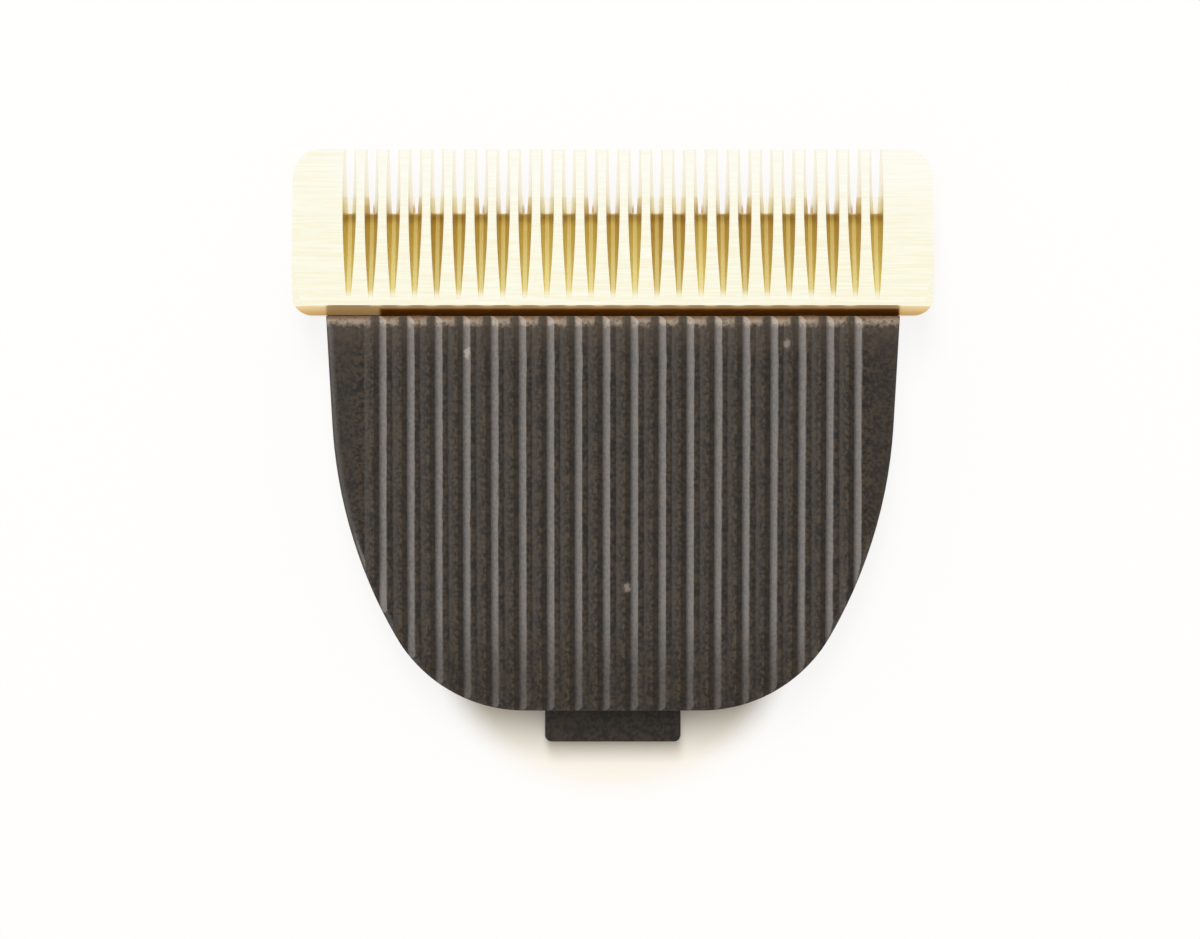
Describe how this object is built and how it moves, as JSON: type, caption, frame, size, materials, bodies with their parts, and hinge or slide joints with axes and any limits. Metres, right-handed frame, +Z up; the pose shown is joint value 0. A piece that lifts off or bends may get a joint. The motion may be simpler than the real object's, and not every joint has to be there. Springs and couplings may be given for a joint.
{
  "type": "hair clipper blade",
  "caption": "Clip-on hair clipper blade: gold-coated steel comb and sliding cutter on a grooved black plastic carrier with a tail hook tab and a drive yoke.",
  "frame": {"origin": "centre of the bounding box in plan, at the rear rim on which the head lies", "axes": "+X along the row of teeth, +Y towards the tooth tips, +Z up through the grooved thumb face"},
  "size_m": [0.046, 0.0428, 0.0087],
  "materials": {
    "carrier_plastic": "satin moulded black plastic",
    "gold_coating": "ground steel with a gold nitride coating",
    "cutter_steel": "ground steel with a gold nitride coating",
    "yoke_plastic": "dark bearing plastic",
    "spring_steel": "drawn stainless wire",
    "screw_steel": "plated steel"
  },
  "bodies": {
    "head": {"carrier": "carrier_plastic", "fixed_blade": "gold_coating", "spring_right": "spring_steel", "spring_left": "spring_steel", "blade_screws": "screw_steel"},
    "cutter": {"moving_blade": "cutter_steel", "drive_yoke": "yoke_plastic"}
  },
  "joints": [
    {"name": "cutter_slide", "type": "slide", "parent": "head", "child": "cutter", "axis": [1, 0, 0], "range_m": [-0.00125, 0.00125]}
  ]
}
